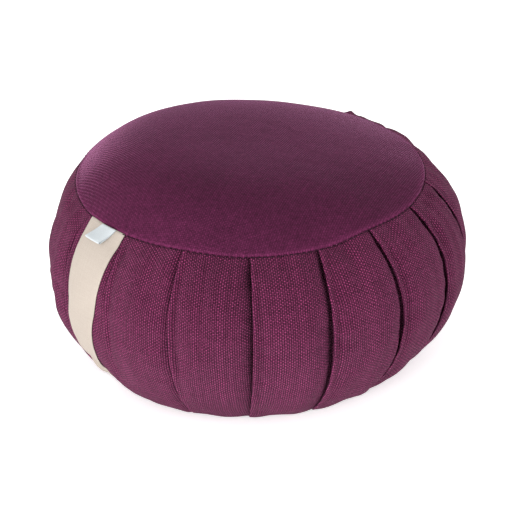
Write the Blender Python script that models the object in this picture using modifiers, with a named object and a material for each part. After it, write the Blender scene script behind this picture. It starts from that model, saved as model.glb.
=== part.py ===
"""Round pleated meditation cushion, filled and closed, standing on its flat base.

The cushion is a filled side band laid in knife pleats, drawn in at the seams to a crowned
round of cloth on top and a flat one below. A plain contrasting strip is sewn into both seams
over one panel of the band, and a small bare tab is sewn into the top seam on it.

Metres, +Z up. The origin is the middle of the base, on the floor. The front is -Y, and an
angle round the cushion is measured from the front towards +X.
"""

import math

import bpy

# Driving sizes of the filled cushion
WIDEST_RADIUS = 0.1735
WIDEST_HEIGHT = 0.0875
SEAM_RADIUS = 0.146
SEAM_HEIGHT = 0.156
BASE_RADIUS = 0.139
CROWN_RISE = 0.026
CLOTH_THICKNESS = 0.002
PIECE_GAP = 0.0009

# The section is an arc on each side of the widest ring. Each starts at this turn of its ellipse,
# in radians, at the seam and at the foot, and grows to a quarter turn at the widest ring
SHOULDER_TURN = 0.90
FOOT_TURN = 1.03
FOOT_FULLNESS = 1.15

# The fill has settled a little to one side: the foot and the seam lie off the middle of the
# widest ring, and the crown is fuller on the left and in front, by a share of its rise
FOOT_SHIFT = (-0.0066, -0.0013)
SEAM_SHIFT = (-0.0041, 0.0)
CROWN_FULLNESS = 4.0
CROWN_LEFT = 0.50
CROWN_FRONT = 0.20
CROWN_RIM_RISE = 0.003
CROWN_RIM_WIDTH = 0.002
SIDE_FULLNESS = 0.7
PANEL_FULLNESS = 0.8

# Each panel of the band stands up along its own fold and dips under the next fold
FOLD_LIFT = 0.0026
FOLD_DIP = 0.0052
FOLD_LIFT_SHARE = 0.30
FOLD_DIP_SHARE = 0.26
SEAM_DRAW = 0.30
FOOT_DRAW = 0.35
FOOT_DRAW_HEIGHT = 0.40

# Seam grooves, where the band turns in below the cloth of the top and above that of the base
TOP_GROOVE_DEPTH = 0.0036
BASE_GROOVE_WIDTH = 0.009
BASE_GROOVE_RISE = 0.0050
BASE_RIM_WIDTH = 0.009
BASE_RIM_RISE = 0.0030
BASE_RIM_STEPS = 3
FOOT_CLEARANCE = 0.0036

# Counts of the lofted faces
SIDE_STEPS = 16
CAP_STEPS = 5
CROWN_STEPS = 10
CROWN_SPREAD = 0.7
PANEL_SHARES = (0.0, 0.05, 0.18, 0.38, 0.58, 0.76, 0.90, 0.965)
ROUND_SIDES = 64
FULL_TURN = 2.0 * math.pi

# A row for each pleat: the angle of its fold at the top seam, half way down and at the base,
# in degrees, how far the panel on its right swells out, and how far the top seam stands above
# its mean height there, in metres
PLEATS = (
    {"top": -88.0, "middle": -89.0, "base": -90.0, "swell": 0.0036, "seam": -0.0005},
    {"top": -63.3, "middle": -67.7, "base": -67.0, "swell": 0.0020, "seam": -0.0008},
    {"top": -42.8, "middle": -46.1, "base": -45.4, "swell": 0.0046, "seam": 0.0006},
    {"top": -21.5, "middle": -24.5, "base": -21.5, "swell": 0.0044, "seam": 0.0014},
    {"top": -0.3, "middle": -1.5, "base": -1.5, "swell": 0.0060, "seam": -0.0010},
    {"top": 21.3, "middle": 19.9, "base": 20.6, "swell": 0.0058, "seam": -0.0010},
    {"top": 40.2, "middle": 42.1, "base": 40.6, "swell": 0.0046, "seam": 0.0030},
    {"top": 62.5, "middle": 63.3, "base": 58.6, "swell": 0.0048, "seam": 0.0004},
    {"top": 81.4, "middle": 84.5, "base": 81.3, "swell": 0.0050, "seam": 0.0002},
    {"top": 106.0, "middle": 107.0, "base": 104.0, "swell": 0.0052, "seam": 0.0000},
    {"top": 130.0, "middle": 129.0, "base": 128.0, "swell": 0.0056, "seam": 0.0000},
    {"top": 153.5, "middle": 153.0, "base": 152.0, "swell": 0.0044, "seam": -0.0010},
    {"top": 176.5, "middle": 177.0, "base": 176.0, "swell": 0.0040, "seam": -0.0020},
    {"top": 200.5, "middle": 200.0, "base": 199.0, "swell": 0.0044, "seam": 0.0000},
    {"top": 224.0, "middle": 224.5, "base": 222.0, "swell": 0.0052, "seam": 0.0010},
    {"top": 248.0, "middle": 247.5, "base": 247.0, "swell": 0.0036, "seam": 0.0000},
)
STRIP_PANEL = 1

# The contrasting strip, as angles of its two edges like the folds of the table
STRIP_LEFT = {"top": -61.4, "middle": -64.2, "base": -62.8}
STRIP_RIGHT = {"top": -44.4, "middle": -50.8, "base": -51.4}
STRIP_GAP = 0.0013
STRIP_THICKNESS = 0.0015
STRIP_COLUMNS = 8

# The bare tab sewn into the top seam, lying on the strip with its free end lifted: its two
# edges in degrees at the seam, how far the free end leans from them, and its reach down the
# side as a share of the height
TAB_LEFT = -54.3
TAB_RIGHT = -47.4
TAB_LEAN = -2.8
TAB_REACH = 0.110
TAB_THICKNESS = 0.0010
TAB_END_LIFT = 0.0022
TAB_ROWS = 5
TAB_COLUMNS = 4


def new_collection(name):
    """A fresh collection linked to the scene."""
    group = bpy.data.collections.new(name)
    bpy.context.scene.collection.children.link(group)
    return group


def cloth(name, colour, roughness):
    """A plain cloth material."""
    material = bpy.data.materials.new(name)
    material.use_nodes = True
    shader = material.node_tree.nodes["Principled BSDF"]
    shader.inputs["Base Color"].default_value = (*colour, 1.0)
    shader.inputs["Roughness"].default_value = roughness
    shader.inputs["Metallic"].default_value = 0.0
    return material


def between_seams(row, height):
    """An angle of the row at a share of the height from base to top, on a smooth bend."""
    bend = 2.0 * row["top"] + 2.0 * row["base"] - 4.0 * row["middle"]
    slope = row["top"] - row["base"] - bend
    return math.radians(row["base"] + slope * height + bend * height * height)


def side_section(height):
    """Radius and height of the filled side at a share of the way from its foot to the seam."""
    quarter = math.pi / 2.0
    if height >= 0.5:
        turn = SHOULDER_TURN + (quarter - SHOULDER_TURN) * (1.0 - height) * 2.0
        inwards = (1.0 - math.sin(turn)) / (1.0 - math.sin(SHOULDER_TURN))
        upwards = math.cos(turn) / math.cos(SHOULDER_TURN)
        radius = WIDEST_RADIUS - (WIDEST_RADIUS - SEAM_RADIUS) * inwards
        return radius, WIDEST_HEIGHT + (SEAM_HEIGHT - WIDEST_HEIGHT) * upwards
    turn = FOOT_TURN + (quarter - FOOT_TURN) * height * 2.0
    inwards = ((1.0 - math.sin(turn)) / (1.0 - math.sin(FOOT_TURN))) ** FOOT_FULLNESS
    downwards = math.cos(turn) / math.cos(FOOT_TURN)
    radius = WIDEST_RADIUS - (WIDEST_RADIUS - BASE_RADIUS) * inwards
    return radius, WIDEST_HEIGHT - (WIDEST_HEIGHT - FOOT_CLEARANCE) * downwards


def side_normal(height):
    """Outward direction of the side's section, as radial and upward parts."""
    step = 0.01
    low = side_section(max(height - step, 0.0))
    high = side_section(min(height + step, 1.0))
    along_radius = high[0] - low[0]
    along_level = high[1] - low[1]
    length = math.hypot(along_radius, along_level)
    return along_level / length, -along_radius / length


def panel_relief(swell, share, height):
    """How far a panel stands off the plain section, from its fold (0) to the next fold (1)."""
    fullness = math.sin(math.pi * height) ** SIDE_FULLNESS
    across = math.sin(math.pi * share) ** PANEL_FULLNESS
    drawn = SEAM_DRAW + (1.0 - SEAM_DRAW) * fullness
    drawn *= FOOT_DRAW + (1.0 - FOOT_DRAW) * min(height / FOOT_DRAW_HEIGHT, 1.0)
    lift = FOLD_LIFT * max(0.0, 1.0 - share / FOLD_LIFT_SHARE) ** 2
    dip = FOLD_DIP * max(0.0, 1.0 - (1.0 - share) / FOLD_DIP_SHARE) ** 2
    return swell * fullness * across + drawn * (lift - dip)


def panel_width(panel, height):
    """Angle across a panel, from its fold to the next, at a share of the height."""
    start = between_seams(PLEATS[panel], height)
    end = between_seams(PLEATS[(panel + 1) % len(PLEATS)], height)
    return (end - start) % FULL_TURN


def panel_angle(panel, share, height):
    """Angle from the front at a share of the way across a panel."""
    return between_seams(PLEATS[panel], height) + share * panel_width(panel, height)


def seam_rise(angle):
    """How far the top seam stands above its mean height, eased from pleat to pleat."""
    for panel, row in enumerate(PLEATS):
        past = (angle - math.radians(row["top"])) % FULL_TURN
        width = panel_width(panel, 1.0)
        if past < width:
            following = PLEATS[(panel + 1) % len(PLEATS)]
            ease = 0.5 - 0.5 * math.cos(math.pi * past / width)
            return row["seam"] + ease * (following["seam"] - row["seam"])
    return 0.0


def middle_at(level):
    """Where the middle of the cushion lies at a level: over the widest ring's, or shifted."""
    if level < WIDEST_HEIGHT:
        share = 1.0 - level / WIDEST_HEIGHT
        shift = FOOT_SHIFT
    else:
        share = min((level - WIDEST_HEIGHT) / (SEAM_HEIGHT - WIDEST_HEIGHT), 1.0)
        shift = SEAM_SHIFT
    return shift[0] * share * share, shift[1] * share * share


def round_point(angle, radius, level):
    """A point at an angle from the front, raised with the seam where it is near it."""
    nearness = min(radius / SEAM_RADIUS, 1.0) ** CROWN_FULLNESS * level / SEAM_HEIGHT
    rise = seam_rise(angle) * nearness
    middle_x, middle_y = middle_at(level)
    across = middle_x + radius * math.sin(angle)
    return across, middle_y - radius * math.cos(angle), level + rise


def side_point(panel, share, height, stand_off=0.0):
    """A point on the pleated side, or that far off it."""
    radius, level = side_section(height)
    out, up = side_normal(height)
    relief = panel_relief(PLEATS[panel]["swell"], share, height) + stand_off
    level = max(level + up * relief, FOOT_CLEARANCE - stand_off)
    return round_point(panel_angle(panel, share, height), radius + out * relief, level)


def crown_level(share, angle):
    """Height of the top's outer face, from its middle (0) to its rolled rim (1)."""
    fuller = 1.0 + share * (CROWN_FRONT * math.cos(angle) - CROWN_LEFT * math.sin(angle))
    rise = CROWN_RISE * (1.0 - share ** CROWN_FULLNESS) * fuller
    return SEAM_HEIGHT + CROWN_RIM_RISE + rise


def fill_level(share, angle, depth):
    """Height of the fill under the top, at a depth from its face, measured square to it."""
    step = 0.01
    fall = crown_level(share - step, angle) - crown_level(share + step, angle)
    slope = fall / (2.0 * step * SEAM_RADIUS)
    return crown_level(share, angle) - depth * math.hypot(1.0, slope)


def add_mesh(name, points, faces, group, material):
    """An object of the given faces, shaded smooth but for sharp edges."""
    mesh = bpy.data.meshes.new(name)
    mesh.from_pydata(points, [], faces)
    mesh.validate()
    mesh.shade_smooth()
    mesh.set_sharp_from_angle(angle=math.radians(50.0))
    mesh.materials.append(material)
    piece = bpy.data.objects.new(name, mesh)
    group.objects.link(piece)
    return piece


def lofted(rings, first, last):
    """Points and faces of rings joined in turn, closed by a point before and one after."""
    sides = len(rings[0])
    points = [first] + [point for ring in rings for point in ring] + [last]
    faces = []
    for side in range(sides):
        following = (side + 1) % sides
        faces.append((0, 1 + following, 1 + side))
        for ring in range(len(rings) - 1):
            low = 1 + ring * sides
            high = low + sides
            faces.append((low + side, low + following, high + following, high + side))
        top = 1 + (len(rings) - 1) * sides
        faces.append((top + side, top + following, len(points) - 1))
    return points, faces


def build_cushion_body(group, material):
    """The filled, pleated side with the fill under both rounds of cloth, as one solid."""
    columns = [(panel, share) for panel in range(len(PLEATS)) for share in PANEL_SHARES]
    foot_angles = [panel_angle(panel, share, 0.0) for panel, share in columns]
    seam_angles = [panel_angle(panel, share, 1.0) for panel, share in columns]
    cloth_depth = CLOTH_THICKNESS + PIECE_GAP
    groove_radius = BASE_RADIUS - BASE_GROOVE_WIDTH
    rings = []
    for step in range(1, CAP_STEPS + 1):
        radius = groove_radius * step / (CAP_STEPS + 1)
        rings.append([round_point(angle, radius, cloth_depth) for angle in foot_angles])
    groove_level = BASE_GROOVE_RISE + CLOTH_THICKNESS
    rings.append([round_point(angle, groove_radius, groove_level) for angle in foot_angles])
    for step in range(SIDE_STEPS + 1):
        height = step / SIDE_STEPS
        rings.append([side_point(panel, share, height) for panel, share in columns])
    rim_radius = SEAM_RADIUS - PIECE_GAP
    crown_radius = rim_radius - CROWN_RIM_WIDTH
    groove_level = SEAM_HEIGHT - TOP_GROOVE_DEPTH
    rings.append([round_point(angle, rim_radius, groove_level) for angle in seam_angles])
    for step in range(CAP_STEPS, 0, -1):
        share = (step / (CAP_STEPS + 1)) ** CROWN_SPREAD
        ring = []
        for angle in seam_angles:
            level = fill_level(share, angle, cloth_depth)
            ring.append(round_point(angle, crown_radius * share, level))
        rings.append(ring)
    base_middle = round_point(0.0, 0.0, cloth_depth)
    crown_middle = round_point(0.0, 0.0, crown_level(0.0, 0.0) - cloth_depth)
    points, faces = lofted(rings, base_middle, crown_middle)
    return add_mesh("cushion_body", points, faces, group, material)


def round_sheet(middle, rings):
    """Points and faces of an open round sheet from its middle outwards, facing up."""
    points = [middle] + [point for ring in rings for point in ring]
    faces = []
    for side in range(ROUND_SIDES):
        following = (side + 1) % ROUND_SIDES
        faces.append((0, 1 + side, 1 + following))
        for ring in range(len(rings) - 1):
            near = 1 + ring * ROUND_SIDES
            far = near + ROUND_SIDES
            faces.append((near + side, far + side, far + following, near + following))
    return points, faces


def thicken(piece, thickness, offset):
    """Give an open sheet its thickness: offset -1 is inwards from its face and 1 outwards."""
    shell = piece.modifiers.new("thickness", "SOLIDIFY")
    shell.thickness = thickness
    shell.offset = offset


def build_top_panel(group, material):
    """The crowned round of cloth, its rim turned down to the seam."""
    rim_radius = SEAM_RADIUS - PIECE_GAP
    crown_radius = rim_radius - CROWN_RIM_WIDTH
    angles = [FULL_TURN * side / ROUND_SIDES for side in range(ROUND_SIDES)]
    rings = []
    for step in range(1, CROWN_STEPS + 1):
        share = (step / CROWN_STEPS) ** CROWN_SPREAD
        ring = []
        for angle in angles:
            ring.append(round_point(angle, crown_radius * share, crown_level(share, angle)))
        rings.append(ring)
    rings.append([round_point(angle, rim_radius, SEAM_HEIGHT) for angle in angles])
    points, faces = round_sheet(round_point(0.0, 0.0, crown_level(0.0, 0.0)), rings)
    piece = add_mesh("top_panel", points, faces, group, material)
    thicken(piece, CLOTH_THICKNESS, -1.0)
    return piece


def build_bottom_panel(group, material):
    """The flat round of cloth that the cushion stands on, its rim raised to the seam."""
    rim_radius = BASE_RADIUS - BASE_GROOVE_WIDTH - PIECE_GAP
    flat_radius = rim_radius - BASE_RIM_WIDTH
    profile = [(flat_radius / 2.0, CLOTH_THICKNESS)]
    for step in range(BASE_RIM_STEPS + 1):
        share = step / BASE_RIM_STEPS
        rise = BASE_RIM_RISE * share * share
        profile.append((flat_radius + BASE_RIM_WIDTH * share, CLOTH_THICKNESS + rise))
    angles = [FULL_TURN * side / ROUND_SIDES for side in range(ROUND_SIDES)]
    rings = []
    for radius, level in profile:
        rings.append([round_point(angle, radius, level) for angle in angles])
    points, faces = round_sheet(round_point(0.0, 0.0, CLOTH_THICKNESS), rings)
    piece = add_mesh("bottom_panel", points, faces, group, material)
    thicken(piece, CLOTH_THICKNESS, -1.0)
    return piece


def sheet_faces(rows, columns):
    """Faces of a grid of points laid row by row, left to right and base to top."""
    faces = []
    for row in range(rows):
        for column in range(columns):
            corner = row * (columns + 1) + column
            above = corner + columns + 1
            faces.append((corner, corner + 1, above + 1, above))
    return faces


def panel_share(angle, height):
    """Share across the strip's panel at which an angle lies."""
    start = between_seams(PLEATS[STRIP_PANEL], height)
    end = between_seams(PLEATS[STRIP_PANEL + 1], height)
    return (angle - start) / (end - start)


def build_cream_strip(group, material):
    """The contrasting strip lying on its panel from seam to seam."""
    points = []
    for step in range(SIDE_STEPS + 1):
        height = step / SIDE_STEPS
        left = between_seams(STRIP_LEFT, height)
        right = between_seams(STRIP_RIGHT, height)
        for column in range(STRIP_COLUMNS + 1):
            angle = left + (right - left) * column / STRIP_COLUMNS
            share = panel_share(angle, height)
            points.append(side_point(STRIP_PANEL, share, height, STRIP_GAP))
    faces = sheet_faces(SIDE_STEPS, STRIP_COLUMNS)
    piece = add_mesh("cream_strip", points, faces, group, material)
    thicken(piece, STRIP_THICKNESS, 1.0)
    return piece


def build_side_tab(group, material):
    """The small bare tab sewn in at the top seam, its free end a little proud of the strip."""
    on_strip = STRIP_GAP + STRIP_THICKNESS + PIECE_GAP
    points = []
    for row in range(TAB_ROWS + 1):
        free = 1.0 - row / TAB_ROWS
        height = 1.0 - TAB_REACH * free
        stand_off = on_strip + TAB_END_LIFT * free * free
        for column in range(TAB_COLUMNS + 1):
            across = TAB_LEFT + (TAB_RIGHT - TAB_LEFT) * column / TAB_COLUMNS
            angle = math.radians(across + TAB_LEAN * free)
            share = panel_share(angle, height)
            points.append(side_point(STRIP_PANEL, share, height, stand_off))
    piece = add_mesh("side_tab", points, sheet_faces(TAB_ROWS, TAB_COLUMNS), group, material)
    thicken(piece, TAB_THICKNESS, 1.0)
    return piece


for old in list(bpy.data.objects):
    bpy.data.objects.remove(old, do_unlink=True)

cushion = new_collection("meditation_cushion")
band_cloth = cloth("band_cloth", (0.165, 0.035, 0.092), 0.92)
top_cloth = cloth("top_cloth", (0.105, 0.027, 0.070), 0.92)
base_cloth = cloth("base_cloth", (0.120, 0.030, 0.078), 0.92)
strip_cloth = cloth("strip_cloth", (0.78, 0.69, 0.59), 0.90)
tab_cloth = cloth("tab_cloth", (0.72, 0.75, 0.77), 0.70)

build_cushion_body(cushion, band_cloth)
build_top_panel(cushion, top_cloth)
build_bottom_panel(cushion, base_cloth)
build_cream_strip(cushion, strip_cloth)
build_side_tab(cushion, tab_cloth)
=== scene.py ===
"""Looks of a round pleated meditation cushion: cloth, seams, strip, tab, light and camera."""

import math

import bpy
import numpy as np
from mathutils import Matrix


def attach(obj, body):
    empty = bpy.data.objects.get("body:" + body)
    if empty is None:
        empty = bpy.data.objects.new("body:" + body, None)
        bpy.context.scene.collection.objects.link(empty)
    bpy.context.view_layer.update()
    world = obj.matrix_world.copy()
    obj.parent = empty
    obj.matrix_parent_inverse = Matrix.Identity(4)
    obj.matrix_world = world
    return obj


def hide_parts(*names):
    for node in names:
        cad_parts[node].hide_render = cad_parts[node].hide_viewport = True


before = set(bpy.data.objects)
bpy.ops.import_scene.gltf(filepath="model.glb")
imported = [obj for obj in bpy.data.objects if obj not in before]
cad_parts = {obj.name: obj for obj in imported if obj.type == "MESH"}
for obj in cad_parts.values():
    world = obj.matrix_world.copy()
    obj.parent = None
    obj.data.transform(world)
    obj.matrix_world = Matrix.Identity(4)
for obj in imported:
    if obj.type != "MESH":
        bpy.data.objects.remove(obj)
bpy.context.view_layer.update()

# Pleated side band
# One length of plum cotton canvas, laid in sixteen knife pleats round a husk fill and sewn to both
# rounds. Each panel comes from under its own fold, rolls over the fold's edge, swells across its
# face and slips under the next fold.

# The side runs from the base seam (height 0) to the top seam (height 1), in an arc below the
# widest ring and one above it. Angles are from the front (-Y) towards +X. Lengths are in metres,
# and the turns at which the arcs start in radians
FULL_TURN = 2.0 * math.pi
WIDEST_RADIUS = 0.1735
WIDEST_LEVEL = 0.0875
SEAM_RADIUS = 0.146
SEAM_LEVEL = 0.156
FOOT_RADIUS = 0.139
FOOT_LEVEL = 0.0036
SHOULDER_TURN = 0.90
FOOT_TURN = 1.03
FOOT_FULLNESS = 1.15
FOOT_SHIFT = np.array([-0.0066, -0.0013])
SEAM_SHIFT = np.array([-0.0041, 0.0])
SIDE_FULLNESS = 0.7
LOWEST_CLOTH = 0.0012
SECTION_STATIONS = 400

# A row for each pleat: the angle of its fold at the top seam, half way down and at the base in
# degrees, then in metres the swell of the panel on its right, the rise of the top seam, the lift
# of the fold's edge, and the depth and softness of the gap that it stands over
PLEATS = np.array(
    [
        (-84.0, -81.5, -85.0, 0.0052, -0.0005, 0.0014, 0.0034, 0.0022),
        (-63.3, -67.0, -66.0, 0.0020, -0.0008, 0.0008, 0.0022, 0.0020),
        (-42.8, -46.1, -45.4, 0.0046, 0.0006, 0.0012, 0.0026, 0.0030),
        (-21.5, -24.5, -21.5, 0.0044, 0.0014, 0.0022, 0.0044, 0.0024),
        (-0.3, -1.5, -1.5, 0.0060, -0.0010, 0.0019, 0.0080, 0.0052),
        (21.3, 19.9, 20.6, 0.0058, -0.0010, 0.0020, 0.0076, 0.0046),
        (40.2, 42.1, 40.6, 0.0046, 0.0032, 0.0022, 0.0056, 0.0024),
        (62.5, 63.3, 58.6, 0.0048, 0.0004, 0.0022, 0.0052, 0.0022),
        (81.4, 84.5, 81.3, 0.0050, 0.0002, 0.0022, 0.0044, 0.0016),
        (106.0, 107.0, 104.0, 0.0052, -0.0016, 0.0016, 0.0040, 0.0024),
        (130.0, 129.0, 128.0, 0.0056, -0.0036, 0.0022, 0.0060, 0.0028),
        (153.5, 153.0, 152.0, 0.0044, -0.0034, 0.0024, 0.0064, 0.0022),
        (176.5, 177.0, 176.0, 0.0040, -0.0022, 0.0020, 0.0058, 0.0030),
        (200.5, 200.0, 199.0, 0.0044, 0.0000, 0.0024, 0.0062, 0.0024),
        (224.0, 224.5, 222.0, 0.0052, 0.0010, 0.0022, 0.0060, 0.0028),
        (248.0, 247.5, 247.0, 0.0046, 0.0000, 0.0024, 0.0058, 0.0022),
    ],
    dtype=[(name, float) for name in
           ("top", "middle", "base", "swell", "seam", "edge", "gap", "softness")],
)
PANELS = len(PLEATS)


def between_seams(top, middle, base, height):
    """Angle at a height: the parabola through its values at the base, the middle and the top."""
    bend = 2.0 * top + 2.0 * base - 4.0 * middle
    return np.radians(base + (top - base - bend) * height + bend * height ** 2)


def fold_angle(panel, height):
    """Angle of a pleat's fold at a height, one turn further for each time round."""
    row = PLEATS[panel % PANELS]
    turns = panel // PANELS * FULL_TURN
    return between_seams(row["top"], row["middle"], row["base"], height) + turns


def section(height):
    """Radius and level of the side: an arc of an ellipse below the widest ring and one above."""
    high = height >= 0.5
    start = np.where(high, SHOULDER_TURN, FOOT_TURN)
    turn = start + (0.5 * np.pi - start) * 2.0 * np.where(high, 1.0 - height, height)
    inwards = ((1.0 - np.sin(turn)) / (1.0 - np.sin(start))) ** np.where(high, 1.0, FOOT_FULLNESS)
    radius = WIDEST_RADIUS - (WIDEST_RADIUS - np.where(high, SEAM_RADIUS, FOOT_RADIUS)) * inwards
    end_level = np.where(high, SEAM_LEVEL, FOOT_LEVEL)
    return radius, WIDEST_LEVEL + (end_level - WIDEST_LEVEL) * np.cos(turn) / np.cos(start)


def section_normal(height):
    """Outward direction of the section: its tangent over a short step, turned a quarter."""
    step = 0.01  # share of the height
    low_radius, low_level = section(np.maximum(height - step, 0.0))
    high_radius, high_level = section(np.minimum(height + step, 1.0))
    run = high_radius - low_radius
    rise = high_level - low_level
    length = np.hypot(run, rise)
    return rise / length, -run / length


def section_length(height):
    """Length of cloth from the base seam up to a height, summed over short steps."""
    stations = np.linspace(0.0, 1.0, SECTION_STATIONS)
    radius, level = section(stations)
    steps = np.hypot(np.diff(radius), np.diff(level))
    return np.interp(height, stations, np.concatenate([[0.0], np.cumsum(steps)]))


def seam_rise(angle):
    """Rise of the top seam above its mean level, eased by a cosine from pleat to pleat."""
    starts = np.radians(PLEATS["top"])
    past = (np.asarray(angle)[..., None] - starts) % FULL_TURN
    panel = past.argmin(-1)
    following = (panel + 1) % PANELS
    width = (starts[following] - starts[panel]) % FULL_TURN
    ease = 0.5 - 0.5 * np.cos(np.pi * past.min(-1) / width)
    rise = PLEATS["seam"]
    return rise[panel] + ease * (rise[following] - rise[panel])


def placed(angle, radius, level):
    """Points at an angle, a radius and a level, on the lean of the fill and the uneven top seam.

    The middle shifts with the square of the way down to the foot or up to the top seam. The
    seam's rise grows with the fourth power of the radius and in step with the level.
    """
    nearness = np.minimum(radius / SEAM_RADIUS, 1.0) ** 4 * level / SEAM_LEVEL
    low = np.clip(1.0 - level / WIDEST_LEVEL, 0.0, 1.0) ** 2
    high = np.clip((level - WIDEST_LEVEL) / (SEAM_LEVEL - WIDEST_LEVEL), 0.0, 1.0) ** 2
    across = radius * np.sin(angle) + FOOT_SHIFT[0] * low + SEAM_SHIFT[0] * high
    along = -radius * np.cos(angle) + FOOT_SHIFT[1] * low + SEAM_SHIFT[1] * high
    return np.stack(np.broadcast_arrays(across, along, level + seam_rise(angle) * nearness), -1)


def off_side(angle, height, stand_off):
    """Points that stand off the plain section along its normal, never below the foot's level."""
    radius, level = section(height)
    out, up = section_normal(height)
    high = np.maximum(level + up * stand_off, LOWEST_CLOTH)
    return placed(angle, radius + out * stand_off, high)


def grid_piece(name, rows, uv, material, first=None, last=None, wrap=True, painted_light=None):
    """A smooth mesh from rows of points, which run anticlockwise as seen from the last row.

    uv has a place for each point, with one more column where the rows wrap round. first and last
    are the poles that close the lowest and the highest row. The painted-light values are above 0
    where a highlight is painted on the cloth and below 0 where shade is painted, deep in a fold.
    """
    count, sides = rows.shape[:2]
    points = rows.reshape(-1, 3)
    row, side = np.mgrid[0:count - 1, 0:sides if wrap else sides - 1]
    following = (side + 1) % sides
    corners = np.stack(
        [row * sides + side, row * sides + following,
         (row + 1) * sides + following, (row + 1) * sides + side], -1)
    faces = corners.reshape(-1, 4).tolist()
    places = np.stack(
        [uv[row, side], uv[row, side + 1], uv[row + 1, side + 1], uv[row + 1, side]], 2)
    places = places.reshape(-1, 2)
    for pole, ring, outward in ((first, 0, False), (last, count - 1, True)):
        if pole is None:
            continue
        centre = len(points)
        points = np.vstack([points, pole])
        turn = np.arange(sides)
        near = ring * sides + turn
        far = ring * sides + (turn + 1) % sides
        pair = (near, far) if outward else (far, near)
        faces += np.stack([*pair, np.full(sides, centre)], -1).tolist()
        ends = (uv[ring, turn], uv[ring, turn + 1])
        ends = ends if outward else ends[::-1]
        middle = np.broadcast_to(uv[ring, :-1].mean(0), (sides, 2))
        places = np.vstack([places, np.stack([*ends, middle], 1).reshape(-1, 2)])
    mesh = bpy.data.meshes.new(name)
    mesh.from_pydata(points.tolist(), [], faces)
    layer = mesh.uv_layers.new(name="cloth")
    layer.data.foreach_set("uv", places.astype(np.float32).ravel())
    # Painted highlight above 0 and painted shade below 0, kept as a per-point attribute
    if painted_light is not None:
        painted_light_values = np.zeros(len(points), np.float32)
        painted_light_values[:painted_light.size] = painted_light.ravel()
        mesh.attributes.new("painted_light", "FLOAT", "POINT").data.foreach_set("value", painted_light_values)
    mesh.shade_smooth()
    mesh.materials.append(material)
    piece = bpy.data.objects.new(name, mesh)
    bpy.context.scene.collection.objects.link(piece)
    return piece


# Canvas weave: the pitch across and along in metres, how round the yarns are, how much each set
# rises and sinks as it crosses the other and its middle height, and how far the yarns wander
CANVAS_PITCH = (0.00177, 0.00130)
YARN_ROUNDNESS = 0.6
YARN_SETS = {"thick": (0.45, 0.55), "thin": (-0.28, 0.34)}
WANDER = 0.0016
WANDER_SCALE = 70.0

# What all the cloths share: scale of the slow blotches, part of the noise that counts, roughness
# of the gaps and of the yarns, relief of the lint, and gloss
BLOTCH_SCALE = 16.0
NOISE_EDGE = 0.3
CLOTH_ROUGHNESS = (0.98, 0.84)
LINT_RELIEF = 0.2
CLOTH_GLOSS = 0.1


def add_node(tree, kind, settings=None, **inputs):
    """A node with its settings, its inputs given as values or as sockets to link from."""
    node = tree.nodes.new(kind)
    for setting, value in (settings or {}).items():
        setattr(node, setting, value)
    for key, value in inputs.items():
        socket = node.inputs[int(key[1:]) if key[1:].isdigit() else key]
        if isinstance(value, bpy.types.NodeSocket):
            tree.links.new(value, socket)
        else:
            socket.default_value = value
    return node


def calculate(tree, operation, *values):
    """The output of a Math node on its values or sockets."""
    inputs = {f"n{index}": value for index, value in enumerate(values)}
    return add_node(tree, "ShaderNodeMath", {"operation": operation}, **inputs).outputs[0]


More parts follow.
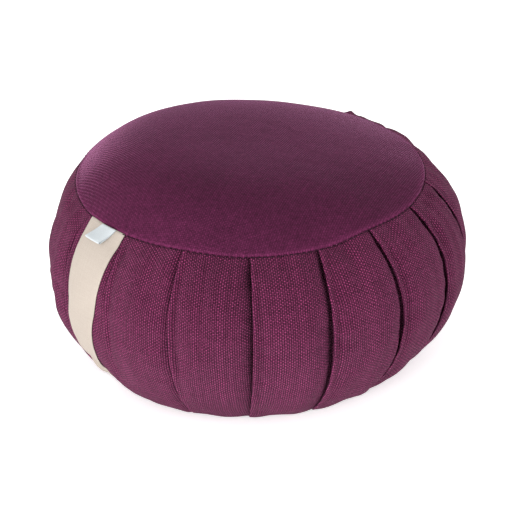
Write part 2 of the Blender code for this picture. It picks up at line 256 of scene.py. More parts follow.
def weave_group():
    """Plain canvas weave: the higher of two crossed sets of round yarns that pass over and under.

    Each yarn is the root of a sine across it, lifted or sunk by a sine along it. Each yarn and
    each crossing has its own shade. The thicker set stands higher, so that its floats are dots in
    a checkerboard. A slow noise bends the yarns a little.
    """
    tree = bpy.data.node_groups.new("canvas weave", "ShaderNodeTree")
    tree.interface.new_socket("Place", in_out="INPUT", socket_type="NodeSocketVector")
    tree.interface.new_socket("Pitch across", in_out="INPUT", socket_type="NodeSocketFloat")
    tree.interface.new_socket("Pitch along", in_out="INPUT", socket_type="NodeSocketFloat")
    tree.interface.new_socket("Height", in_out="OUTPUT", socket_type="NodeSocketFloat")
    tree.interface.new_socket("Shade", in_out="OUTPUT", socket_type="NodeSocketFloat")
    given = tree.nodes.new("NodeGroupInput")
    wander = add_node(tree, "ShaderNodeTexNoise", n0=given.outputs["Place"],
                      Scale=WANDER_SCALE, Detail=2.0)
    spread = add_node(tree, "ShaderNodeVectorMath", {"operation": "MULTIPLY_ADD"},
                      n0=wander.outputs["Color"], n1=(WANDER, WANDER, 0.0),
                      n2=given.outputs["Place"])
    parts = add_node(tree, "ShaderNodeSeparateXYZ", n0=spread.outputs[0])
    waves = []
    yarns = []
    shades = []
    for axis, pitch in (("X", "Pitch across"), ("Y", "Pitch along")):
        count = calculate(tree, "DIVIDE", parts.outputs[axis], given.outputs[pitch])
        waves.append(calculate(tree, "SINE", calculate(tree, "MULTIPLY", count, math.pi)))
        yarns.append(calculate(tree, "FLOOR", count))
        white = add_node(tree, "ShaderNodeTexWhiteNoise", {"noise_dimensions": "1D"}, W=yarns[-1])
        shades.append(white.outputs["Value"])
    heights = []
    for first, second, yarn_set in ((0, 1, "thick"), (1, 0, "thin")):
        swing, middle = YARN_SETS[yarn_set]
        across = calculate(tree, "ABSOLUTE", waves[first])
        round_yarn = calculate(tree, "POWER", across, YARN_ROUNDNESS)
        over = calculate(tree, "MULTIPLY", calculate(tree, "SIGN", waves[first]), waves[second])
        lift = calculate(tree, "MULTIPLY_ADD", over, swing, middle)
        heights.append(calculate(tree, "MULTIPLY", round_yarn, lift))
    height = calculate(tree, "MAXIMUM", *heights)
    which = calculate(tree, "GREATER_THAN", *heights)
    shade = add_node(tree, "ShaderNodeMix", n0=which, n2=shades[1], n3=shades[0])
    crossing = add_node(tree, "ShaderNodeCombineXYZ", X=yarns[0], Y=yarns[1])
    own = add_node(tree, "ShaderNodeTexWhiteNoise", Vector=crossing.outputs[0])
    both = add_node(tree, "ShaderNodeMix", n0=0.5, n2=shade.outputs[0], n3=own.outputs["Value"])
    result = tree.nodes.new("NodeGroupOutput")
    tree.links.new(height, result.inputs["Height"])
    tree.links.new(both.outputs[0], result.inputs["Shade"])
    return tree


WEAVE = weave_group()


def cloth_material(name, gap, yarn, pitch, turn=0.0, relief=0.0007, blotch=0.10, yarns=0.06,
                   lint=0.12, lint_scale=750.0, sheen=0.12, nap=0.35, painted_light_strength=0.0, openness=1.0):
    """Woven cloth: dark gaps and light yarns by the weave, slow blotches, lint and a soft sheen.

    turn is in degrees and relief in metres. blotch, yarns and lint are the shares by which the
    colour varies. nap is the roughness of the sheen, lowest where it shows only on the rim. The
    painted-light strength is how much lighter the cloth is painted as a highlight, or darker as
    shade, where its painted-light attribute is 1 or -1, as a share of its colour. openness
    is the power of the weave's height by which the gaps widen.
    """
    material = bpy.data.materials.new(name)
    material.use_nodes = True
    tree = material.node_tree
    shader = tree.nodes["Principled BSDF"]
    place = add_node(tree, "ShaderNodeUVMap", {"uv_map": "cloth"}).outputs["UV"]
    turned = add_node(tree, "ShaderNodeVectorRotate", {"rotation_type": "Z_AXIS"},
                      Vector=place, Angle=math.radians(turn)).outputs[0]
    weave = tree.nodes.new("ShaderNodeGroup")
    weave.node_tree = WEAVE
    tree.links.new(turned, weave.inputs["Place"])
    weave.inputs["Pitch across"].default_value = pitch[0]
    weave.inputs["Pitch along"].default_value = pitch[1]
    solid = add_node(tree, "ShaderNodeTexCoord").outputs["Object"]
    slow = add_node(tree, "ShaderNodeTexNoise", Vector=solid, Scale=BLOTCH_SCALE, Detail=4.0,
                    Roughness=0.6)
    fine = add_node(tree, "ShaderNodeTexNoise", Vector=solid, Scale=lint_scale, Detail=3.0,
                    Roughness=0.7)
    covered = calculate(tree, "POWER", weave.outputs["Height"], openness)
    mix = add_node(tree, "ShaderNodeMix", {"data_type": "RGBA"}, n6=(*gap, 1.0), n7=(*yarn, 1.0),
                   n0=covered)
    # Painted highlight and painted shade: a per-point attribute lightens or darkens the colour
    painted_light_values = add_node(tree, "ShaderNodeAttribute", {"attribute_name": "painted_light"}).outputs["Fac"]
    tone = calculate(tree, "MULTIPLY_ADD", painted_light_values, painted_light_strength, 1.0)
    for value, depth, edge in ((slow.outputs["Fac"], blotch, NOISE_EDGE),
                               (fine.outputs["Fac"], lint, NOISE_EDGE),
                               (weave.outputs["Shade"], yarns, 0.0)):
        part = add_node(tree, "ShaderNodeMapRange", n0=value, n1=edge, n2=1.0 - edge,
                        n3=1.0 - depth, n4=1.0 + depth)
        tone = calculate(tree, "MULTIPLY", tone, part.outputs[0])
    toned = add_node(tree, "ShaderNodeVectorMath", {"operation": "SCALE"}, n0=mix.outputs[2],
                     Scale=tone)
    tree.links.new(toned.outputs[0], shader.inputs["Base Color"])
    rough = add_node(tree, "ShaderNodeMapRange", n0=weave.outputs["Height"],
                     n3=CLOTH_ROUGHNESS[0], n4=CLOTH_ROUGHNESS[1])
    tree.links.new(rough.outputs[0], shader.inputs["Roughness"])
    raised = calculate(tree, "MULTIPLY_ADD", fine.outputs["Fac"], LINT_RELIEF,
                       weave.outputs["Height"])
    bump = add_node(tree, "ShaderNodeBump", Height=raised, Strength=1.0, Distance=relief)
    tree.links.new(bump.outputs[0], shader.inputs["Normal"])
    shader.inputs["Specular IOR Level"].default_value = CLOTH_GLOSS
    shader.inputs["Sheen Weight"].default_value = sheen
    shader.inputs["Sheen Roughness"].default_value = nap
    tint = np.sqrt(np.array(yarn) / max(yarn))
    shader.inputs["Sheen Tint"].default_value = (*tint.tolist(), 1.0)
    return material


PLUM_GAP = (0.006, 0.0012, 0.0070)
PLUM_YARN = (0.300, 0.0440, 0.136)
band_cloth = cloth_material("band cloth", PLUM_GAP, PLUM_YARN, CANVAS_PITCH, relief=0.0018,
                            lint=0.30, lint_scale=600.0, yarns=0.34, painted_light_strength=0.40, openness=1.8)

# The pleats' layers: the hidden parts turn back on themselves a few millimetres in, so the band is
# one closed sheet. The turns are in degrees, and the parts are shares of the underlap
LAYER = 0.0015
UNDERLAP = 0.0080
BACK_TURNS = (-45.0, 0.0, 45.0)
BACK_PARTS = (1.0, 0.6, 0.2)
EDGE_TURNS = (240.0, 205.0, 175.0, 145.0, 115.0)
UNDER_PARTS = (0.33, 0.66, 1.0)
FACE_STEPS = 36
SIDE_ROWS = 84
CLOTH_PER_PANEL = 0.11

# The fold's edge and the trough behind it, and how far the pleats are drawn in at the seams. The
# gap under each fold opens just below the top seam
EDGE_WIDTH = 0.0026
VALLEY_DEPTH = 0.0013
VALLEY_PLACE = 0.0050
VALLEY_WIDTH = 0.0024
SEAM_DRAW = 0.30
FOOT_DRAW = 0.16
GAP_FOOT_DRAW = 0.45
FOOT_DRAW_HEIGHT = 0.42
FOOT_SWELL = 0.55
GAP_OPENING = 0.90
GAP_OPENING_HEIGHT = 0.91
GAP_OPENING_LENGTH = 0.07

# Painted light on the band: how much lighter a fold's edge is painted as a highlight, and how
# much darker the cloth is painted as shade in a trough, in a gap and where it is hidden. The
# tallest edge gets the most painted highlight, and the rolled edge is painted lighter on top and
# darker under it
EDGE_PAINTED_HIGHLIGHT = 0.7
EDGE_PAINTED_HIGHLIGHT_PLACE = 0.0006
EDGE_PAINTED_HIGHLIGHT_WIDTH = 0.0012
TALLEST_EDGE = 0.0024
TROUGH_SHADE = 0.25
GAP_SHADE = 0.9
HIDDEN_PAINTED_SHADE = -0.8
ROLLED_PAINTED_LIGHT = 0.8

# Soft dents and ridges in the panels: the panel, the share across it and the height of the
# middle, the half width in metres, the half length as a share of the height, and the depth. They
# fade out at the panel's two folds. The fill is also a little uneven all round
CREASE_EASE = 0.08
UNEVENNESS = 0.00055
PANEL_SPACING = 0.065
CREASES = np.array(
    [
        (4, 0.44, 0.97, 0.0045, 0.09, 0.0030),
        (5, 0.46, 0.95, 0.0048, 0.16, 0.0034),
        (5, 0.28, 0.98, 0.0038, 0.07, 0.0018),
        (5, 0.64, 0.98, 0.0034, 0.07, 0.0014),
        (1, 0.30, 0.09, 0.0170, 0.09, 0.0080),
        (0, 0.92, 0.12, 0.0120, 0.07, 0.0040),
        (4, 0.75, 1.00, 0.0040, 0.08, 0.0008),
        (3, 0.40, 0.75, 0.0050, 0.40, 0.0012),
        (3, 0.66, 0.70, 0.0060, 0.45, 0.0014),
        (3, 0.20, 0.97, 0.0040, 0.12, 0.0014),
        (2, 0.62, 0.95, 0.0050, 0.20, 0.0014),
        (2, 0.30, 0.20, 0.0070, 0.30, 0.0008),
        (6, 0.35, 0.95, 0.0050, 0.25, 0.0009),
        (6, 0.70, 0.30, 0.0070, 0.30, 0.0008),
        (7, 0.22, 0.80, 0.0026, 0.35, -0.0009),
        (7, 0.45, 0.75, 0.0032, 0.35, -0.0011),
        (7, 0.70, 0.75, 0.0034, 0.35, -0.0010),
        (8, 0.35, 0.80, 0.0040, 0.30, -0.0008),
        (8, 0.65, 0.60, 0.0050, 0.40, -0.0008),
        (0, 0.30, 0.80, 0.0035, 0.40, -0.0010),
        (0, 0.62, 0.70, 0.0045, 0.45, -0.0009),
        (8, 0.60, 0.90, 0.0260, 0.08, -0.0006),
        (9, 0.80, 0.92, 0.0200, 0.08, -0.0044),
        (10, 0.40, 0.90, 0.0300, 0.08, -0.0062),
        (11, 0.30, 0.90, 0.0220, 0.08, -0.0026),
        (10, 0.63, 0.955, 0.0034, 0.030, -0.0040),
        (10, 0.40, 0.90, 0.0050, 0.25, 0.0010),
        (12, 0.55, 0.95, 0.0050, 0.20, 0.0010),
        (14, 0.40, 0.85, 0.0050, 0.30, 0.0010),
        (15, 0.60, 0.80, 0.0040, 0.30, -0.0008),
        (15, 0.58, 0.75, 0.0240, 0.11, 0.0044),
    ],
    dtype=[("panel", int)] + [(name, float) for name in
                              ("share", "height", "width", "length", "depth")],
)

# Filling of the panels: a cloth simulation blows up a plain copy of the side that is cut a little
# too wide and sewn down along its folds and seams. No point moves further than the cap
FILL_ROWS = 36
FILL_COLUMNS = 12
FILL_PRESSURE = 4.0
FILL_SPARE_CLOTH = 0.05
FILL_FRAMES = 20
FILL_CAP = 0.012


def filled_panels():
    """Share of its greatest swell at which each panel's cloth stands: panel, height and across."""
    heights = np.linspace(0.0, 1.0, FILL_ROWS + 1)
    starts = np.stack([fold_angle(panel, heights) for panel in range(PANELS + 1)], 1)
    steps = np.arange(FILL_COLUMNS) / FILL_COLUMNS
    angle = starts[:, :-1, None] + np.diff(starts, axis=1)[:, :, None] * steps
    angle = angle.reshape(FILL_ROWS + 1, -1)
    flat = off_side(angle, heights[:, None], 0.0)
    places = np.zeros((FILL_ROWS + 1, angle.shape[1] + 1, 2))
    copy = grid_piece("plain side", flat, places, band_cloth,
                      first=flat[0].mean(0), last=flat[-1].mean(0))
    sewn = np.zeros(flat.shape[:2], bool)
    sewn[:, ::FILL_COLUMNS] = True
    sewn[[0, -1]] = True
    poles = [sewn.size, sewn.size + 1]
    group = copy.vertex_groups.new(name="sewn")
    group.add(np.flatnonzero(sewn).tolist() + poles, 1.0, "REPLACE")
    cloth = copy.modifiers.new("filling", "CLOTH")
    cloth.settings.vertex_group_mass = "sewn"
    cloth.settings.use_pressure = True
    cloth.settings.uniform_pressure_force = FILL_PRESSURE
    cloth.settings.shrink_min = -FILL_SPARE_CLOTH
    cloth.settings.effector_weights.gravity = 0.0
    scene = bpy.context.scene
    for frame_number in range(1, FILL_FRAMES + 1):
        scene.frame_set(frame_number)
    filled = copy.evaluated_get(bpy.context.evaluated_depsgraph_get()).data
    moved = np.empty(3 * len(filled.vertices), np.float32)
    filled.vertices.foreach_get("co", moved)
    scene.frame_set(1)
    move = moved.reshape(-1, 3)[:sewn.size].reshape(flat.shape) - flat
    out, up = section_normal(heights[:, None])
    outward = move[..., 0] * np.sin(angle) - move[..., 1] * np.cos(angle)
    off = outward * out + move[..., 2] * up
    off = np.clip(off, -FILL_CAP, FILL_CAP).reshape(FILL_ROWS + 1, PANELS, FILL_COLUMNS)
    off = np.concatenate([off, np.zeros((FILL_ROWS + 1, PANELS, 1))], 2).transpose(1, 0, 2)
    mesh = copy.data
    bpy.data.objects.remove(copy, do_unlink=True)
    bpy.data.meshes.remove(mesh)
    return off / off.max((1, 2), keepdims=True)


FILLED = filled_panels()


def spline_weights(place, count):
    """Four neighbouring stations and their cubic B-spline weights at a place from 0 to 1."""
    station = np.clip(place, 0.0, 1.0) * count
    low = np.minimum(np.floor(station), count - 1)
    past = station - low
    weights = ((1.0 - past) ** 3 / 6.0, (3.0 * past ** 3 - 6.0 * past ** 2 + 4.0) / 6.0,
               (-3.0 * past ** 3 + 3.0 * past ** 2 + 3.0 * past + 1.0) / 6.0, past ** 3 / 6.0)
    return [(np.clip(low + step, 0, count).astype(int), weight)
            for step, weight in zip((-1, 0, 1, 2), weights)]


def fill_share(panel, share, height):
    """Swell of the filled panel at a share across it and a height, smooth between the stations."""
    total = 0.0
    for row, row_weight in spline_weights(height, FILL_ROWS):
        for column, column_weight in spline_weights(share, FILL_COLUMNS):
            total = total + row_weight * column_weight * FILLED[panel % PANELS, row, column]
    return total


def creases(panel, distance, width, height):
    """Sum of the panel's own dents and ridges, each a bell across and along the cloth."""
    total = 0.0 * distance
    for crease in CREASES[CREASES["panel"] == panel % PANELS]:
        across = (distance - crease["share"] * width) / crease["width"]
        along = (height - crease["height"]) / crease["length"]
        total = total - crease["depth"] * np.exp(-across ** 2 - along ** 2)
    return total


def undulation(panel, distance, height):
    """Slow unevenness of the fill all round: the product of two slanting waves, and less of a third
    that wavers with the height."""
    around = (panel % PANELS) * PANEL_SPACING + distance
    field = np.sin(97.0 * around + 5.0 * height) * np.sin(8.3 * height + 61.0 * around)
    field = field + 0.7 * np.sin(173.0 * around - 11.0 * height + 2.0 * np.sin(9.0 * height))
    return UNEVENNESS * field


def face_offset(panel, distance, width, height):
    """Stand-off of a panel's face: its swell, the lifted edge of its fold with a trough behind it,
    the drop into the gap under the next fold, widest just below the top seam, and its creases."""
    pleat = PLEATS[panel % PANELS]
    following = PLEATS[(panel + 1) % PANELS]
    share = np.clip(distance / width, 0.0, 1.0)
    fullness = np.clip(np.sin(np.pi * height), 0.0, 1.0) ** SIDE_FULLNESS
    drawn = SEAM_DRAW + (1.0 - SEAM_DRAW) * fullness
    off_foot = np.minimum(height / FOOT_DRAW_HEIGHT, 1.0)
    edge_drawn = drawn * (FOOT_DRAW + (1.0 - FOOT_DRAW) * off_foot)
    gap_drawn = drawn * (GAP_FOOT_DRAW + (1.0 - GAP_FOOT_DRAW) * off_foot)
    swell = pleat["swell"] * fill_share(panel, share, height)
    swell = swell * (FOOT_SWELL + (1.0 - FOOT_SWELL) * off_foot)
    ridge = pleat["edge"] * np.exp(-(distance / EDGE_WIDTH) ** 2)
    trough = VALLEY_DEPTH * np.exp(-((distance - VALLEY_PLACE) / VALLEY_WIDTH) ** 2)
    to_end = np.maximum(width - distance, 0.0)
    open_top = GAP_OPENING * np.exp(-((height - GAP_OPENING_HEIGHT) / GAP_OPENING_LENGTH) ** 2)
    drop = following["gap"] * (1.0 + open_top) * np.exp(-to_end / following["softness"])
    uneven = creases(panel, distance, width, height) + undulation(panel, distance, height)
    ends = np.clip(share / CREASE_EASE, 0.0, 1.0) * np.clip((1.0 - share) / CREASE_EASE, 0.0, 1.0)
    return swell + edge_drawn * (ridge - trough) - gap_drawn * drop + uneven * ends


def fold_painted_light(panel, distance, width):
    """Painted highlight along the fold's edge, the more the higher it stands, and painted shade in
    the trough behind it and under the next fold."""
    proud = PLEATS["edge"][panel % PANELS] / TALLEST_EDGE
    ridge = EDGE_PAINTED_HIGHLIGHT * proud * np.exp(-((distance - EDGE_PAINTED_HIGHLIGHT_PLACE) / EDGE_PAINTED_HIGHLIGHT_WIDTH) ** 2)
    trough = TROUGH_SHADE * np.exp(-((distance - VALLEY_PLACE) / VALLEY_WIDTH) ** 2)
    reach = PLEATS["softness"][(panel + 1) % PANELS]
    return ridge - trough - GAP_SHADE * np.exp(-np.maximum(width - distance, 0.0) / reach)


def panel_columns(panel, height):
    """Distance from the fold, stand-off and painted highlight and shade of a panel's columns, from
    its hidden turn on.

    The hidden layer comes back under the face to the fold, rolls over its edge in part of a
    circle, crosses the face and ends under the next fold, two layers below it.
    """
    radius = section(height)[0]
    width = radius * (fold_angle(panel + 1, height) - fold_angle(panel, height))
    next_width = radius * (fold_angle(panel + 2, height) - fold_angle(panel + 1, height))
    level = 0.0 * width
    columns = []
    inner = face_offset(panel, UNDERLAP, width, height)
    # Hidden layers are painted dark as shade
    for turn in np.radians(BACK_TURNS):
        columns.append((UNDERLAP + 0.5 * LAYER * np.cos(turn) + level,
                        inner - 1.5 * LAYER + 0.5 * LAYER * np.sin(turn), HIDDEN_PAINTED_SHADE + level))
    for part in BACK_PARTS:
        distance = UNDERLAP * part + level
        columns.append((distance, face_offset(panel, distance, width, height) - LAYER,
                        HIDDEN_PAINTED_SHADE + level))
    edge = face_offset(panel, level, width, height) - 0.5 * LAYER
    # The rolled edge is painted lighter on top as a highlight and darker underneath as shade
    for turn in np.radians(EDGE_TURNS):
        columns.append((0.5 * LAYER * np.cos(turn) + level, edge + 0.5 * LAYER * np.sin(turn),
                        ROLLED_PAINTED_LIGHT * np.sin(turn) + level))
    for step in range(FACE_STEPS + 1):
        distance = width * (0.5 - 0.5 * math.cos(math.pi * step / FACE_STEPS))
        columns.append((distance, face_offset(panel, distance, width, height),
                        fold_painted_light(panel, distance, width)))
    at_end = face_offset(panel, width, width, height)
    slack = face_offset(panel + 1, level, next_width, height) - 2.0 * LAYER - at_end
    for part in UNDER_PARTS:
        past = UNDERLAP * part + level
        over = face_offset(panel + 1, past, next_width, height)
        columns.append((width + past, over - 2.0 * LAYER - slack * (1.0 - part),
                        HIDDEN_PAINTED_SHADE + level))
    distances, offsets, painted_light = (np.stack(values, -1) for values in zip(*columns))
    return distances, offsets, painted_light, width


def band_rows(heights):
    """Points, cloth places and painted highlight and shade of the whole band at the given heights,
    panel after panel.
    """
    radius = section(heights)[0]
    rows = []
    places = []
    painted_light_values = []
    for panel in range(PANELS):
        distances, offsets, painted_light, width = panel_columns(panel, heights)
        angle = fold_angle(panel, heights)[:, None] + distances / radius[:, None]
        rows.append(off_side(angle, heights[:, None], offsets))
        along = np.broadcast_to(section_length(heights)[:, None], distances.shape)
        across = panel * CLOTH_PER_PANEL + distances - 0.5 * width[:, None]
        places.append(np.stack([across, along], -1))
        painted_light_values.append(painted_light)
    places = np.concatenate(places, 1)
    places = np.concatenate([places, places[:, :1]], 1)
    return np.concatenate(rows, 1), places, np.concatenate(painted_light_values, 1)


def closed_rings(sides, radii, levels):
    """Plain rings of evenly spaced points at the given radii and levels, each a circle."""
    angle = fold_angle(0, 0.5) + FULL_TURN * np.arange(sides) / sides
    return placed(angle[None, :], np.array(radii)[:, None], np.array(levels)[:, None])


def turned_in(ring, radius_change, level_change):
    """A ring of points moved towards or away from the middle and up or down."""
    reach = np.hypot(ring[:, 0], ring[:, 1])
    scale = (reach + radius_change) / reach
    return np.stack([ring[:, 0] * scale, ring[:, 1] * scale, ring[:, 2] + level_change], 1)


# The seam allowances, as changes of radius and level from the seams, and the hidden middles that
# close the band under the two rounds, as radii and levels
BASE_ALLOWANCE = ((-0.0090, 0.0040), (-0.0065, 0.0010), (-0.0040, -0.0010), (-0.0015, -0.0012))
TOP_ALLOWANCE = ((-0.0006, -0.0006), (-0.0012, -0.0020), (-0.0050, -0.0040))
LOW_MIDDLE = ((0.04, 0.10), (0.0050, 0.0050))
LOW_POLE = (0.0, 0.0, 0.005)
HIGH_MIDDLE = ((0.11, 0.05), (SEAM_LEVEL + 0.008, SEAM_LEVEL + 0.016))
HIGH_POLE = (0.0, 0.0, SEAM_LEVEL + 0.018)

band_points, band_places, band_painted_light = band_rows(np.linspace(0.0, 1.0, SIDE_ROWS + 1))
sides = band_points.shape[1]
below = [turned_in(band_points[0], *changes) for changes in BASE_ALLOWANCE]
above = [turned_in(band_points[-1], *changes) for changes in TOP_ALLOWANCE]
low_rings = closed_rings(sides, *LOW_MIDDLE)
high_rings = closed_rings(sides, *HIGH_MIDDLE)
band_points = np.concatenate([low_rings, below, band_points, above, high_rings])
ends = [np.repeat(band_places[row:row + 1], count, 0) for row, count in
        ((0, len(low_rings) + len(below)), (SIDE_ROWS, len(above) + len(high_rings)))]
band_places = np.concatenate([ends[0], band_places, ends[1]])
band_painted_light = np.concatenate([np.zeros(ends[0].shape[:2])[:, 1:], band_painted_light])
band = grid_piece("pleated_band", band_points, band_places, band_cloth,
                  first=LOW_POLE, last=HIGH_POLE, painted_light=band_painted_light)
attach(band, "root")
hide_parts("cushion_body")

# Round of cloth on top
# A plain round of the same plum canvas, cut at a slant to the band's weave and sewn to its upper
# edge. The fill crowns it, fuller on the left and in front, and it rolls down into the seam.
CROWN_RISE = 0.026
CROWN_FULLNESS = 4.0
CROWN_LEFT = 0.50
CROWN_FRONT = 0.20
CLOTH_THICKNESS = 0.0012
ROUND_SIDES = 512

# The rings of the round: the hidden side as shares of the crown's radius, the roll of the rim in
# degrees, painted lighter as a highlight from its fifth ring on, and the crown, closer together
# near the rim
UNDER_SHARES = (0.20, 0.55, 0.80, 0.94)
UNDER_DEPTH = 2.2 * CLOTH_THICKNESS
MIDDLE_DEPTH = 2.0 * CLOTH_THICKNESS
RIM_OVERHANG = 0.0002
RIM_RISE = 0.0030
RIM_ROLL = 0.0022
ROLL_TURNS = (-75.0, 70.0)
ROLL_STEPS = 10
PAINTED_HIGHLIGHT_FROM = 4
CROWN_STEPS = 56
CROWN_MIDDLE = 0.02
CROWN_SPACING = 0.75
# The same plum canvas as the band, with its yarn and gap colours painted much darker and greyer as
# shade, for the weaker light on the top
top_cloth_painted_shade = cloth_material("top cloth painted shade", (0.039, 0.0056, 0.0200), (0.096, 0.0136, 0.051),
                           CANVAS_PITCH, turn=22.0, relief=0.0004, sheen=0.54, nap=0.18, yarns=0.18,
                           lint=0.26, lint_scale=320.0, painted_light_strength=0.35)


def crown_level(share, angle):
    """Height of the crown: a dome that falls with the fourth power of the share of its radius,
    fuller to the left and to the front."""
    fuller = 1.0 + share * (CROWN_FRONT * np.cos(angle) - CROWN_LEFT * np.sin(angle))
    return SEAM_LEVEL + RIM_RISE + CROWN_RISE * (1.0 - share ** CROWN_FULLNESS) * fuller


def planar_places(points):
    """Cloth places of a round piece: its points seen from above, with the first column again."""
    flat = points[..., :2]
    return np.concatenate([flat, flat[:, :1]], 1)


around = (FULL_TURN * np.arange(ROUND_SIDES) / ROUND_SIDES)[None, :]
rim_radius = SEAM_RADIUS + RIM_OVERHANG
crown_radius = rim_radius - RIM_ROLL
under_shares = np.array(UNDER_SHARES)[:, None]
under = placed(around, crown_radius * under_shares,
               crown_level(under_shares, around) - UNDER_DEPTH)
roll = np.radians(np.linspace(*ROLL_TURNS, ROLL_STEPS))[:, None]
rolled = placed(around, crown_radius + RIM_ROLL * np.cos(roll) + 0.0 * around,
                SEAM_LEVEL + RIM_RISE - RIM_ROLL + RIM_ROLL * np.sin(roll) + 0.0 * around)
crown_shares = np.linspace(1.0, CROWN_MIDDLE, CROWN_STEPS)[:, None] ** CROWN_SPACING
crown = placed(around, crown_radius * crown_shares + 0.0 * around,
               crown_level(crown_shares, around))
top_points = np.concatenate([under, rolled, crown])
top_painted_light = np.zeros(top_points.shape[:2])
# Painted highlight on the upper part of the rolled rim
top_painted_light[len(under) + PAINTED_HIGHLIGHT_FROM:len(under) + len(roll) + 1] = 1.0
crown_middle = placed(np.zeros(1), 0.0, crown_level(0.0, 0.0))[0]
top_round = grid_piece("top_round", top_points, planar_places(top_points), top_cloth_painted_shade,
                       first=crown_middle - [0.0, 0.0, MIDDLE_DEPTH], last=crown_middle,
                       painted_light=top_painted_light)
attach(top_round, "root")
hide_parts("top_panel")

# Round of cloth below
# A plain round of plum canvas, sewn to the band's lower edge. The weight presses it flat, and it
# turns up at its rim to the seam.
base_cloth = cloth_material("base cloth", PLUM_GAP, PLUM_YARN, CANVAS_PITCH, turn=-12.0,
                            openness=1.8)

# Radius and level of each ring, from the middle of the lower side round the rim to the upper side
BASE_ALLOWED = 0.0095
BASE_UPPER_LEVEL = 0.0015
base_rim = FOOT_RADIUS - BASE_ALLOWED
base_profile = np.array([
    (0.030, 0.0), (0.090, 0.0), (base_rim - 0.009, 0.0), (base_rim - 0.005, 0.0007),
    (base_rim - 0.002, 0.0020), (base_rim + 0.0006, 0.0036), (base_rim + 0.0005, 0.0050),
    (base_rim - 0.002, 0.0046), (base_rim - 0.008, 0.0018), (0.080, BASE_UPPER_LEVEL),
    (0.030, BASE_UPPER_LEVEL),
])
base_points = placed(around, base_profile[:, :1] + 0.0 * around, base_profile[:, 1:])
base_round = grid_piece("base_round", base_points, planar_places(base_points), base_cloth,
                        first=(*FOOT_SHIFT, 0.0), last=(*FOOT_SHIFT, BASE_UPPER_LEVEL))
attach(base_round, "root")
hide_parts("bottom_panel")

# Seam thread
# Plum sewing thread, a row of short stitches along each of the two seams. They lie sunk in
# the groove between the band and the rounds. The thread's very dark plum colour is partly its own
# and partly painted shade of the groove.
STITCH_PITCH = 0.0052
STITCH_LENGTH = 0.0034
STITCH_THICKNESS = 0.0007
STITCH_END = 0.95
STITCH_RINGS = 7
STITCH_SIDES = 6

# Radius and level of the groove that each row lies in
TOP_GROOVE = (rim_radius + 0.0009, SEAM_LEVEL + 0.0003)
BASE_GROOVE = (base_rim + 0.0010, 0.0044)
# Very dark thread: partly its own colour and partly painted shade of the seam's groove
thread_and_groove_shade = cloth_material("seam thread and groove shade", (0.004, 0.0008, 0.0025), (0.030, 0.006, 0.017),
                        (0.0004, 0.0004), relief=0.0001)


def stitches(name, radius, level):
    """A ring of closed stitches at a radius and a level, each round across.

    Along a stitch, its thickness is the root of 1 less the fourth power of the way to its end.
    """
    count = round(FULL_TURN * radius / STITCH_PITCH)
    along = np.linspace(-STITCH_END, STITCH_END, STITCH_RINGS)[None, :, None]
    turn = (FULL_TURN * np.arange(STITCH_SIDES) / STITCH_SIDES)[None, None, :]
    thick = 0.5 * STITCH_THICKNESS * (1.0 - along ** 4) ** 0.5
    places = np.arange(count)[:, None, None] * FULL_TURN / count
    angle = places + 0.5 * STITCH_LENGTH / radius * along + 0.0 * turn
    ring = placed(angle, radius + thick * np.cos(turn), level + thick * np.sin(turn))
    tips = [placed(places[:, 0, 0] + side * 0.5 * STITCH_LENGTH / radius, radius, level)
            for side in (-1.0, 1.0)]
    on_rings = STITCH_RINGS * STITCH_SIDES
    row, side = np.mgrid[0:STITCH_RINGS - 1, 0:STITCH_SIDES]
    near = row * STITCH_SIDES + side
    far = row * STITCH_SIDES + (side + 1) % STITCH_SIDES
    quads = np.stack([near, near + STITCH_SIDES, far + STITCH_SIDES, far], -1).reshape(-1, 4)
    first = np.arange(STITCH_SIDES)
    following = (first + 1) % STITCH_SIDES
    last = on_rings - STITCH_SIDES
    fans = np.concatenate([
        np.stack([first, following, np.full(STITCH_SIDES, on_rings)], -1),
        np.stack([last + following, last + first, np.full(STITCH_SIDES, on_rings + 1)], -1)])
    points = np.concatenate([ring.reshape(count, on_rings, 3), np.stack(tips, 1)], 1)
    starts = np.arange(count)[:, None, None] * (on_rings + 2)
    faces = []
    for one in (quads, fans):
        faces += (starts + one[None]).reshape(-1, one.shape[1]).tolist()
    mesh = bpy.data.meshes.new(name)
    mesh.from_pydata(points.reshape(-1, 3).tolist(), [], faces)
    mesh.uv_layers.new(name="cloth")
    mesh.shade_smooth()
    mesh.materials.append(thread_and_groove_shade)
    piece = bpy.data.objects.new(name, mesh)
    bpy.context.scene.collection.objects.link(piece)
    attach(piece, "root")


stitches("top_seam_stitches", *TOP_GROOVE)
stitches("base_seam_stitches", *BASE_GROOVE)

# Contrasting strip
# A strip of smooth cream canvas, its long edges folded under, sewn into both seams over one panel.
# Its section is a flat bar with rounded long edges.
STRIP_PANEL = 1
STRIP_THICKNESS = 0.0011
STRIP_GAP = 0.0003
STRIP_WIDTH = 0.042
STRIP_ROWS = 90

# Angles of its edges at the top seam, half way down and at the base, in degrees, and the tuck of
# its right edge, which starts at a share of the height
STRIP_EDGES = {"left": (-61.7, -63.4, -66.5), "right": (-44.0, -50.4, -55.0)}
STRIP_TUCK = math.radians(4.0)
STRIP_TUCK_HEIGHT = 0.20
BAR_SIDES = 44
BAR_SQUARENESS = 0.35
strip_cloth = cloth_material("strip cloth", (0.33, 0.284, 0.246), (0.42, 0.367, 0.320),
                             (0.00055, 0.00055), relief=0.00008, blotch=0.03, yarns=0.06,
                             lint=0.024)


